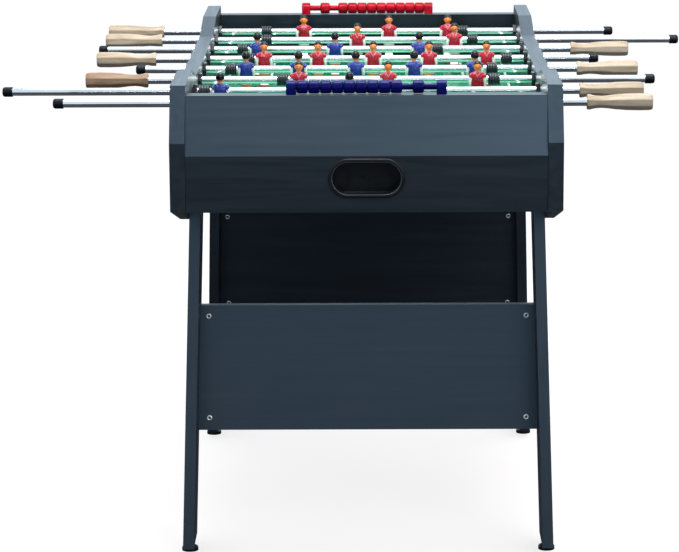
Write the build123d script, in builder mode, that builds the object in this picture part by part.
from build123d import *
import os

os.makedirs("parts", exist_ok=True)

# Foosball table, in millimetres.
# +Z is up and the floor is z = 0. The table's long axis is Y, the rods run along X.
# The origin is on the floor, under the middle of the cabinet.

# Cabinet
cabinet_width = 610
side_thick = 24
end_fold_y = 609.5          # the folded ends stand out furthest here
ear_end_y = 567.5           # end of the raised part's top
ear_inner_y = 386           # where the raised part starts to slope down
middle_y = 265              # where that slope meets the lower middle
low_edge_y = 366            # where the lower edge becomes level
ear_top_z = 800
middle_top_z = 777
fold_z = 715
end_bottom_z = 608
side_bottom_z = 553
outer_x = cabinet_width / 2
inner_x = outer_x - side_thick

# The side panels are thinner below the playfield, where the legs are bolted on.
rebate_deep = 9
rebate_top_z = 662
groove_deep = 6
thin_inner_x = outer_x - side_thick + rebate_deep

# Playfield and ends
field_top_z = 692
field_thick = 9
end_wall_y = 543.5
wall_thick = 12
end_top_z = 785
end_top_y = 574
end_fold_board_z = 695
end_board_y = 608
board_bottom_y = 604.5
side_gap = 0.2
goal_width = 190
goal_height = 58

# Ball return openings
return_width = 107
return_height = 50
return_z = 660
return_rim = 6
return_proud = 3
cup_wall = 2.5
trough_half = 102           # the trough behind the board is as wide as the goal
trough_floor_half = 62
trough_top_z = 690
trough_side_z = 648
trough_floor_z = 627.5
trough_front_y = 592.3
trough_back_y = 557

# Rods
rod_count = 8
rod_first_y = 480
rod_z = 760
rod_dia = 12.7
rod_wall = 1.6
rod_pitch = 2 * rod_first_y / (rod_count - 1)
running_gap = 0.05          # radial

bearing_dia = 19
bearing_flange = 28
bearing_flange_thick = 4
bearing_nut = 27
bearing_nut_thick = 6

handle_long = 104
handle_bore_deep = 82
cap_long = 16.5
cap_dia = 16
cap_bore_deep = 13
cap_round = 4.5
bumper_long = 18
bumper_dia = 21
bumper_groove = 1.6
washer_thick = 1.5
washer_dia = 20

# Each rod: name, side of the handle (+1 is +X), end of the rubber cap, overall length,
# places of the men, places of the two bumpers, and the way the men face (+1 is +Y).
rod_table = [
    ("blue_goalie", 1, -496, 948.5, (-188, -52, 84), (-215, 112), 1),
    ("blue_defence", 1, -592, 1042, (-238, -28), (-264.7, 0), 1),
    ("red_attack", -1, 481, 950, (-113.5, 36, 185), (-141, 213), -1),
    ("blue_midfield", 1, -396, 860, (-207, -117, -19, 81, 185), (-234, 215), 1),
    ("red_midfield", -1, 407, 882, (-181, -86, 11, 109, 210), (-208, 246), -1),
    ("blue_attack", 1, -483.5, 954, (-198, -58, 94), (-225, 128), 1),
    ("red_defence", -1, 574.5, 1057, (-18, 161), (-187, 195), -1),
    ("red_goalie", -1, 464, 952.5, (-120, 41, 152), (-191, 181), -1),
]

# The blue goalie rod rests with its men turned out level.
goalie_turn = 80

# Men
man_half_width = 15.5
man_torso_width = 24
man_torso_deep = 17
man_boss_dia = 20
man_head_dia = 16
man_head_z = 22.5
man_foot_z = -61
man_foot_width = 18
man_foot_deep = 15
man_foot_high = 17
man_leg_top_z = -13
man_leg_deep = 12

# Score counters
score_y = 558
score_z = 796
score_shaft_dia = 10
bead_dia = 20.5
bead_wide = 18
bead_pitch = 18.3
bead_edge = 3.5
bead_stack = 9
bracket_wide = 16
score_long = 250
score_gap = 16

# Legs
leg_thick = 18
leg_width = 100
leg_top_z = 650
leg_bottom_z = 15
leg_splay_x = 14.5          # how far the foot stands outside the top
leg_top_y = 325             # middle of the leg at the cabinet's lower edge
leg_foot_y = 390            # middle of the leg at the foot
leg_drop = side_bottom_z - leg_bottom_z
foot_x = thin_inner_x + leg_splay_x - leg_thick / 2

# Panels between the legs, each held by bolts through the legs into barrel nuts
panel_high = 206
panel_thick = 15
panel_setback = 62
panel_front_z = 196
panel_back_z = 248
nut_in = 14                 # from the panel's upper end to a barrel nut's middle
nut_up = 19                 # from the panel's long edges
nut_dia = 9
nut_socket = 3.4
nut_socket_deep = 2.0
panel_bolt_dia = 5
panel_bolt_head = 12
panel_bolt_head_thick = 3
panel_bolt_past_nut = 6
head_room = 0.1             # radial, round a bolt head let into a leg

# Bolts that hold the legs to the sides
leg_bolt_dia = 8
leg_bolt_head = 18
leg_bolt_head_thick = 3
leg_bolt_z = (585, 628)
leg_bolt_grip = thin_inner_x - leg_thick

# Levelling feet
pad_dia = 27
pad_thick = 7
stem_dia = 8
stem_top_z = 45
pad_edge = 2


def save(builder, name):
    """Name a finished piece and write it."""
    builder.part.label = name
    export_step(builder.part, f"parts/{name}.step")


def leg_middle_y(z):
    """Distance of a leg's middle from the table's middle at height z."""
    return leg_top_y + (side_bottom_z - z) * (leg_foot_y - leg_top_y) / leg_drop


def leg_inner_x(z):
    """Distance of a leg's inner face from the table's middle at height z."""
    return thin_inner_x - leg_thick + (side_bottom_z - z) * leg_splay_x / leg_drop


def rod_y(index):
    """Place of a rod along the table."""
    return -rod_first_y + index * rod_pitch


# ---------------------------------------------------------------- side panels

side_outline = [
    (-ear_end_y, ear_top_z),
    (-ear_inner_y, ear_top_z),
    (-middle_y, middle_top_z),
    (middle_y, middle_top_z),
    (ear_inner_y, ear_top_z),
    (ear_end_y, ear_top_z),
    (end_fold_y, fold_z),
    (end_fold_y - 3, end_bottom_z),
    (low_edge_y, side_bottom_z),
    (-low_edge_y, side_bottom_z),
    (-end_fold_y + 3, end_bottom_z),
    (-end_fold_y, fold_z),
]
rod_places = [(rod_y(i), rod_z) for i in range(rod_count)]
bolt_places = [
    (way * (leg_middle_y(z) + off), z)
    for way in (-1, 1)
    for z, off in zip(leg_bolt_z, (-18, 18))
]

for side_name, side in (("side_panel_left", -1), ("side_panel_right", 1)):
    middle_x = side * (outer_x - side_thick / 2)
    with BuildPart() as side_panel:
        with BuildSketch(Plane.YZ.offset(middle_x)):
            with BuildLine():
                Polyline(*side_outline, close=True)
            make_face()
            with Locations(*rod_places):
                Circle(bearing_dia / 2, mode=Mode.SUBTRACT)
            with Locations(*bolt_places):
                Circle(leg_bolt_dia / 2, mode=Mode.SUBTRACT)
        extrude(amount=side_thick / 2, both=True)
        with Locations((side * inner_x, 0, field_top_z - field_thick / 2)):
            Box(2 * groove_deep, 2 * end_wall_y, field_thick, mode=Mode.SUBTRACT)
        with Locations((side * inner_x, 0, rebate_top_z)):
            Box(
                2 * rebate_deep, 2 * (ear_end_y - 10), 2 * (rebate_top_z - side_bottom_z),
                align=(Align.CENTER, Align.CENTER, Align.MAX), mode=Mode.SUBTRACT,
            )
    save(side_panel, side_name)

# ------------------------------------------------------------------ playfield

with BuildPart() as playfield:
    with Locations((0, 0, field_top_z - field_thick / 2)):
        Box(2 * (inner_x + groove_deep - side_gap), 2 * (end_wall_y - side_gap), field_thick)
save(playfield, "playfield")

# ----------------------------------------------------- folded end boards, walls

board_half = inner_x - side_gap
outer_face = [
    (-end_top_y, end_top_z),
    (-end_board_y, end_fold_board_z),
    (-board_bottom_y, end_bottom_z - 2),
]
inner_face = [
    (-board_bottom_y + wall_thick, end_bottom_z - 2),
    (-end_board_y + wall_thick, end_fold_board_z - 2),
    (-end_top_y + wall_thick, end_top_z),
]

with BuildPart() as end_boards:
    with BuildSketch(Plane.YZ):
        with BuildLine():
            Polyline(*outer_face, *inner_face, close=True)
        make_face()
    extrude(amount=board_half, both=True)
    with BuildSketch(Plane.XZ.offset(end_board_y + 10)):
        with Locations((0, return_z)):
            SlotOverall(return_width + 2 * cup_wall, return_height + 2 * cup_wall)
    extrude(amount=-2 * wall_thick - 20, mode=Mode.SUBTRACT)
    mirror(about=Plane.XZ)
save(end_boards, "end_boards")


def board_inner_y(z):
    """Distance of the end board's upper inner face from the table's middle at height z."""
    (low_y, low_z), (high_y, high_z) = inner_face[1:]
    return -low_y + (z - low_z) * (low_y - high_y) / (high_z - low_z) - side_gap


wall_outline = [
    (-end_wall_y, end_top_z),
    (-end_wall_y, end_bottom_z + 6),
    (-end_wall_y - wall_thick, end_bottom_z + 6),
    (-end_wall_y - wall_thick, end_top_z - wall_thick),
    (-board_inner_y(end_top_z - wall_thick), end_top_z - wall_thick),
    (-board_inner_y(end_top_z), end_top_z),
]

with BuildPart() as end_walls:
    with BuildSketch(Plane.YZ):
        with BuildLine():
            Polyline(*wall_outline, close=True)
        make_face()
    extrude(amount=board_half, both=True)
    with Locations((0, -end_wall_y - wall_thick / 2, field_top_z)):
        Box(
            goal_width, 2 * wall_thick, goal_height,
            align=(Align.CENTER, Align.CENTER, Align.MIN), mode=Mode.SUBTRACT,
        )
    mirror(about=Plane.XZ)
save(end_walls, "end_walls")

# ----------------------------------------------------------- ball return cups


def trough_outline(wall):
    """Front view of the trough, which falls towards the middle; wall is the inset."""
    half = trough_half - wall
    floor_z = trough_floor_z + wall
    return [
        (-half, trough_top_z + wall),
        (-half, trough_side_z + wall / 2),
        (-trough_floor_half, floor_z),
        (trough_floor_half, floor_z),
        (half, trough_side_z + wall / 2),
        (half, trough_top_z + wall),
    ]


with BuildPart() as ball_return_cups:
    with BuildSketch(Plane.XZ.offset(end_board_y)):
        with Locations((0, return_z)):
            SlotOverall(return_width + 2 * return_rim, return_height + 2 * return_rim)
    extrude(amount=return_proud)
    fillet(ball_return_cups.faces().sort_by(Axis.Y)[0].outer_wire().edges(), 2)
    with BuildSketch(Plane.XZ.offset(trough_front_y)):
        with Locations((0, return_z)):
            SlotOverall(return_width + 2 * cup_wall, return_height + 2 * cup_wall)
    extrude(amount=end_board_y - trough_front_y)
    for wall, mode in ((0, Mode.ADD), (cup_wall, Mode.SUBTRACT)):
        with BuildSketch(Plane.XZ.offset(trough_back_y + wall)):
            with BuildLine():
                Polyline(*trough_outline(wall), close=True)
            make_face()
        extrude(amount=trough_front_y - trough_back_y - 2 * wall, mode=mode)
    with BuildSketch(Plane.XZ.offset(trough_back_y + 2 * cup_wall)):
        with Locations((0, return_z)):
            SlotOverall(return_width, return_height)
    extrude(amount=end_board_y, mode=Mode.SUBTRACT)
    mirror(about=Plane.XZ)
save(ball_return_cups, "ball_return_cups")

# --------------------------------------------------------------- rod bearings

with BuildPart() as rod_bearings:
    for side in (-1, 1):
        for i in range(rod_count):
            sleeve_plane = Plane(
                origin=(side * (inner_x - bearing_nut_thick), rod_y(i), rod_z),
                x_dir=(0, 1, 0), z_dir=(side, 0, 0),
            )
            with BuildSketch(sleeve_plane):
                RegularPolygon(bearing_nut / 2, 6)
            extrude(amount=bearing_nut_thick)
            with BuildSketch(sleeve_plane):
                Circle(bearing_dia / 2 - running_gap)
            extrude(amount=bearing_nut_thick + side_thick)
            with BuildSketch(sleeve_plane.offset(bearing_nut_thick + side_thick)):
                Circle(bearing_flange / 2)
            extrude(amount=bearing_flange_thick)
            with BuildSketch(sleeve_plane):
                Circle(rod_dia / 2 + running_gap)
            extrude(
                amount=bearing_nut_thick + side_thick + bearing_flange_thick,
                mode=Mode.SUBTRACT,
            )
save(rod_bearings, "rod_bearings")

# ----------------------------------------------------------------------- rods

handle_profile = [
    (12.4, 0),
    (12.8, 4),
    (10.8, 12),
    (10.0, 22),
    (10.6, 32),
    (12.4, 46),
    (13.6, 62),
    (14.1, 80),
    (13.9, 98),
    (13.0, 102),
    (11.4, handle_long),
]


def man_solid(facing):
    """One man, standing on the origin's X axis, which runs through his chest."""
    with BuildPart() as man:
        with BuildSketch(Plane.YZ):
            Circle(man_boss_dia / 2)
        extrude(amount=man_torso_width / 2, both=True)
        with Locations((0, 0, -1)):
            Box(man_torso_width, man_torso_deep, 24)
        with Locations((0, 0, 6)):
            Box(2 * man_half_width, man_torso_deep - 4, 11)
        with Locations((0, 0, 9)):
            Cylinder(5, 10, align=(Align.CENTER, Align.CENTER, Align.MIN))
        with Locations((0, 0, man_head_z)):
            Sphere(man_head_dia / 2)
        with BuildSketch(Plane.XY.offset(man_leg_top_z)):
            Rectangle(man_torso_width - 2, man_leg_deep + 2)
        with BuildSketch(Plane.XY.offset(man_foot_z + man_foot_high)):
            Rectangle(man_foot_width - 3, man_leg_deep - 2)
        loft()
        with Locations((0, facing, man_foot_z)):
            Box(
                man_foot_width, man_foot_deep, man_foot_high,
                align=(Align.CENTER, Align.CENTER, Align.MIN),
            )
        with BuildSketch(Plane.YZ):
            Circle(rod_dia / 2)
        extrude(amount=man_half_width, both=True, mode=Mode.SUBTRACT)
    return man.part


men = {1: man_solid(1), -1: man_solid(-1)}

for i, (name, side, cap_end, long, men_x, bumpers_x, facing) in enumerate(rod_table):
    y = rod_y(i)
    turn = goalie_turn if name == "blue_goalie" else 0
    handle_end = cap_end + side * long
    handle_inner = handle_end - side * handle_long
    rod_start = cap_end + side * (cap_long - cap_bore_deep)
    rod_end = handle_inner + side * handle_bore_deep
    away_from_handle = Plane(origin=(rod_start, y, rod_z), x_dir=(0, 1, 0), z_dir=(side, 0, 0))
    cap_plane = Plane(origin=(cap_end, y, rod_z), x_dir=(0, 1, 0), z_dir=(side, 0, 0))
    handle_plane = Plane(origin=(handle_inner, y, rod_z), x_dir=(0, 1, 0), z_dir=(side, 0, 0))

    with BuildPart() as rod:
        with BuildSketch(away_from_handle):
            Circle(rod_dia / 2)
            Circle(rod_dia / 2 - rod_wall, mode=Mode.SUBTRACT)
        extrude(amount=abs(rod_end - rod_start))
    save(rod, f"{name}_rod")

    with BuildPart() as handle:
        for (r0, x0), (r1, x1) in zip(handle_profile, handle_profile[1:]):
            with BuildSketch(handle_plane.offset(x0)):
                RegularPolygon(r0, 8, rotation=22.5)
            with BuildSketch(handle_plane.offset(x1)):
                RegularPolygon(r1, 8, rotation=22.5)
            loft(ruled=True)
        with BuildSketch(handle_plane):
            Circle(rod_dia / 2)
        extrude(amount=handle_bore_deep, mode=Mode.SUBTRACT)
    save(handle, f"{name}_handle")

    with BuildPart() as end_cap:
        with BuildSketch(cap_plane):
            Circle(cap_dia / 2)
        extrude(amount=cap_long)
        fillet(end_cap.edges().sort_by(Axis(cap_plane.origin, cap_plane.z_dir))[0], cap_round)
        with BuildSketch(cap_plane.offset(cap_long)):
            Circle(rod_dia / 2)
        extrude(amount=-cap_bore_deep, mode=Mode.SUBTRACT)
    save(end_cap, f"{name}_end_cap")

    with BuildPart() as bumpers:
        for bumper_x, way in zip(bumpers_x, (1, -1)):
            bumper_plane = Plane(
                origin=(bumper_x, y, rod_z), x_dir=(0, 1, 0), z_dir=(way, 0, 0)
            )
            with BuildSketch(bumper_plane):
                Circle(bumper_dia / 2)
                Circle(rod_dia / 2 + running_gap, mode=Mode.SUBTRACT)
            extrude(amount=bumper_long / 2, both=True)
            for step in (-1, 0, 1):
                with BuildSketch(bumper_plane.offset(step * bumper_long / 4)):
                    Circle(bumper_dia / 2 + 1)
                    Circle(bumper_dia / 2 - bumper_groove, mode=Mode.SUBTRACT)
                extrude(amount=bumper_groove / 2, both=True, mode=Mode.SUBTRACT)
            with BuildSketch(bumper_plane.offset(bumper_long / 2 + 0.1)):
                Circle(washer_dia / 2)
                Circle(rod_dia / 2 + running_gap, mode=Mode.SUBTRACT)
            extrude(amount=washer_thick)
    save(bumpers, f"{name}_bumpers")

    with BuildPart() as team:
        for man_x in men_x:
            add(Location((man_x, y, rod_z), (turn, 0, 0)) * men[facing])
    save(team, f"{name}_men")

# ------------------------------------------------------------- score counters

shaft_from = -score_long / 2
first_bead = shaft_from + bracket_wide + bead_wide / 2 + 0.3
last_bead = first_bead + (bead_stack - 1) * bead_pitch + bead_wide + score_gap


def bead_solid():
    """One round counter, its bore along X through the origin."""
    with BuildPart() as bead:
        with BuildSketch(Plane.YZ):
            Circle(bead_dia / 2)
        extrude(amount=bead_wide / 2, both=True)
        fillet(bead.edges(), bead_edge)
        with BuildSketch(Plane.YZ):
            Circle(score_shaft_dia / 2 + running_gap)
        extrude(amount=bead_wide / 2, both=True, mode=Mode.SUBTRACT)
    return bead.part


bead = bead_solid()


def beads(places, y):
    """Round counters on the score shaft, one for each place."""
    with BuildPart() as counters:
        for x in places:
            add(Location((x, y, score_z)) * bead)
    return counters


for team_name, y in (("blue", -score_y), ("red", score_y)):
    with BuildPart() as score_rail:
        with BuildSketch(Plane.YZ):
            with Locations((y, score_z)):
                Circle(score_shaft_dia / 2)
        extrude(amount=score_long / 2 - 2, both=True)
        for side in (-1, 1):
            with BuildSketch(Plane.YZ.offset(side * (score_long - bracket_wide) / 2)):
                with Locations((y, score_z)):
                    Circle(bead_dia / 2)
                with Locations((y, (score_z + end_top_z) / 2)):
                    Rectangle(bead_dia, score_z - end_top_z)
            extrude(amount=bracket_wide / 2, both=True)
    save(score_rail, f"{team_name}_score_rail")

for team_name, way in (("blue", 1), ("red", -1)):
    stack_places = [way * (first_bead + n * bead_pitch) for n in range(bead_stack)]
    stack = beads(stack_places, -way * score_y)
    save(stack, f"{team_name}_score_beads")
    single = beads([way * last_bead], -way * score_y)
    save(single, f"{team_name}_last_score_bead")

# ----------------------------------------------------------------------- legs

leg_side_view = [
    (-leg_middle_y(leg_top_z) - leg_width / 2, leg_top_z),
    (-leg_middle_y(leg_top_z) + leg_width / 2, leg_top_z),
    (-leg_middle_y(leg_bottom_z) + leg_width / 2, leg_bottom_z),
    (-leg_middle_y(leg_bottom_z) - leg_width / 2, leg_bottom_z),
]
leg_front_view = [
    (leg_inner_x(leg_top_z), leg_top_z),
    (thin_inner_x - side_gap, leg_top_z),
    (thin_inner_x - side_gap, side_bottom_z),
    (thin_inner_x + leg_splay_x, leg_bottom_z),
    (leg_inner_x(leg_bottom_z), leg_bottom_z),
]


panel_lean = Vector(0, leg_foot_y - leg_top_y, leg_drop).normalized()


def nut_heights(low_z):
    """Heights of the two barrel nuts at each end of a panel."""
    return (low_z + nut_up, low_z + panel_high - nut_up)


def panel_y(z):
    """Distance of a panel's outer face from the table's middle at height z."""
    return leg_middle_y(z) + leg_width / 2 - panel_setback


def nut_x(low_z):
    """Distance of a panel's barrel nuts from the table's middle."""
    return leg_inner_x(low_z + panel_high - nut_up) - nut_in


def nut_y(z):
    """Distance of a barrel nut's middle from the table's middle at height z."""
    return panel_y(z) - panel_thick / 2


def leg_outer_x(z):
    """Distance of a leg's outer face from the table's middle at height z."""
    return leg_inner_x(z) + leg_thick


def bolt_seat(z, side, way):
    """Where a panel bolt's head meets its shank, facing away from the table; way is -1 at the front."""
    return Plane(
        origin=(side * (leg_outer_x(z) - panel_bolt_head_thick), way * nut_y(z), z),
        x_dir=(0, 1, 0), z_dir=(side, 0, 0),
    )


def nut_plane(x, z, way):
    """Through a barrel nut's middle, facing out of the panel; way is -1 at the front."""
    return Plane(
        origin=(x, way * nut_y(z), z),
        x_dir=(1, 0, 0), z_dir=(0, way * panel_lean.Z, panel_lean.Y),
    )


def bolt_reach(low_z, z):
    """Length of a panel bolt's shank."""
    return leg_outer_x(z) - panel_bolt_head_thick - nut_x(low_z) + panel_bolt_past_nut


with BuildPart() as legs:
    with BuildSketch(Plane.YZ.offset(thin_inner_x)):
        with BuildLine():
            Polyline(*leg_side_view, close=True)
        make_face()
    extrude(amount=2 * leg_width, both=True)
    with BuildSketch(Plane.XZ.offset(leg_top_y)):
        with BuildLine():
            Polyline(*leg_front_view, close=True)
        make_face()
    extrude(amount=2 * leg_width, both=True, mode=Mode.INTERSECT)
    with BuildSketch(Plane.YZ):
        with Locations(*bolt_places[:2]):
            Circle(leg_bolt_dia / 2)
    extrude(amount=outer_x, mode=Mode.SUBTRACT)
    with Locations((foot_x, -leg_foot_y, leg_bottom_z)):
        Cylinder(
            stem_dia / 2 + running_gap, stem_top_z - leg_bottom_z + 15,
            align=(Align.CENTER, Align.CENTER, Align.MIN), mode=Mode.SUBTRACT,
        )
    mirror(about=Plane.YZ)
    mirror(about=Plane.XZ)
    for low_z, way in ((panel_front_z, -1), (panel_back_z, 1)):
        for z in nut_heights(low_z):
            for side in (-1, 1):
                with BuildSketch(bolt_seat(z, side, way)):
                    Circle(panel_bolt_head / 2 + head_room)
                extrude(amount=2 * panel_bolt_head_thick, mode=Mode.SUBTRACT)
                with BuildSketch(bolt_seat(z, side, way)):
                    Circle(panel_bolt_dia / 2)
                extrude(amount=-leg_thick, mode=Mode.SUBTRACT)
save(legs, "legs")

# ---------------------------------------------------------- panels and fasteners


def panel_solid(low_z):
    """A panel between the front legs, with bores for its bolts and barrel nuts."""
    high_z = low_z + panel_high
    side_view = [
        (-panel_y(high_z), high_z),
        (-panel_y(high_z) + panel_thick, high_z),
        (-panel_y(low_z) + panel_thick, low_z),
        (-panel_y(low_z), low_z),
    ]
    front_view = [
        (-leg_inner_x(low_z) + side_gap, low_z),
        (leg_inner_x(low_z) - side_gap, low_z),
        (leg_inner_x(high_z) - side_gap, high_z),
        (-leg_inner_x(high_z) + side_gap, high_z),
    ]
    with BuildPart() as panel:
        with BuildSketch(Plane.YZ):
            with BuildLine():
                Polyline(*side_view, close=True)
            make_face()
        extrude(amount=outer_x, both=True)
        with BuildSketch(Plane.XZ.offset(leg_top_y)):
            with BuildLine():
                Polyline(*front_view, close=True)
            make_face()
        extrude(amount=2 * leg_width, both=True, mode=Mode.INTERSECT)
        for z in nut_heights(low_z):
            for side in (-1, 1):
                with BuildSketch(nut_plane(side * nut_x(low_z), z, -1)):
                    Circle(nut_dia / 2)
                extrude(amount=panel_thick, both=True, mode=Mode.SUBTRACT)
                with BuildSketch(bolt_seat(z, side, -1)):
                    Circle(panel_bolt_dia / 2)
                extrude(amount=-bolt_reach(low_z, z), mode=Mode.SUBTRACT)
    return panel.part


front_panel = panel_solid(panel_front_z)
back_panel = panel_solid(panel_back_z).mirror(Plane.XZ)
with BuildPart() as leg_panels:
    add(front_panel)
    add(back_panel)
save(leg_panels, "leg_panels")

with BuildPart() as assembly_hardware:
    for low_z, way in ((panel_front_z, -1), (panel_back_z, 1)):
        for z in nut_heights(low_z):
            for side in (-1, 1):
                face = nut_plane(side * nut_x(low_z), z, way)
                with BuildSketch(face):
                    Circle(nut_dia / 2)
                extrude(amount=panel_thick / 2 - side_gap, both=True)
                for out in (-1, 1):
                    with BuildSketch(face.offset(out * (panel_thick / 2 - side_gap - nut_socket_deep))):
                        RegularPolygon(nut_socket / 2, 6)
                    extrude(amount=out * 2 * nut_socket_deep, mode=Mode.SUBTRACT)
                with BuildSketch(bolt_seat(z, side, way)):
                    Circle(panel_bolt_head / 2)
                extrude(amount=panel_bolt_head_thick)
                with BuildSketch(bolt_seat(z, side, way)):
                    Circle(panel_bolt_dia / 2)
                extrude(amount=-bolt_reach(low_z, z))
    for side in (-1, 1):
        side_plane = Plane(origin=(side * outer_x, 0, 0), x_dir=(0, 1, 0), z_dir=(side, 0, 0))
        for y, z in bolt_places:
            place = (y, side * z)
            with BuildSketch(side_plane):
                with Locations(place):
                    Circle(leg_bolt_head / 2)
            extrude(amount=leg_bolt_head_thick)
            with BuildSketch(side_plane):
                with Locations(place):
                    Circle(leg_bolt_dia / 2)
            extrude(amount=leg_bolt_grip - outer_x)
save(assembly_hardware, "assembly_hardware")

# ------------------------------------------------------------- levelling feet

for foot_name, side, way in (
    ("front_left_foot", -1, -1),
    ("front_right_foot", 1, -1),
    ("back_left_foot", -1, 1),
    ("back_right_foot", 1, 1),
):
    with BuildPart() as foot:
        with Locations((side * foot_x, way * leg_foot_y, 0)):
            Cylinder(pad_dia / 2, pad_thick, align=(Align.CENTER, Align.CENTER, Align.MIN))
        fillet(foot.faces().sort_by(Axis.Z)[-1].edges(), pad_edge)
        with Locations((side * foot_x, way * leg_foot_y, pad_thick)):
            Cylinder(
                stem_dia / 2, stem_top_z - pad_thick,
                align=(Align.CENTER, Align.CENTER, Align.MIN),
            )
    save(foot, foot_name)
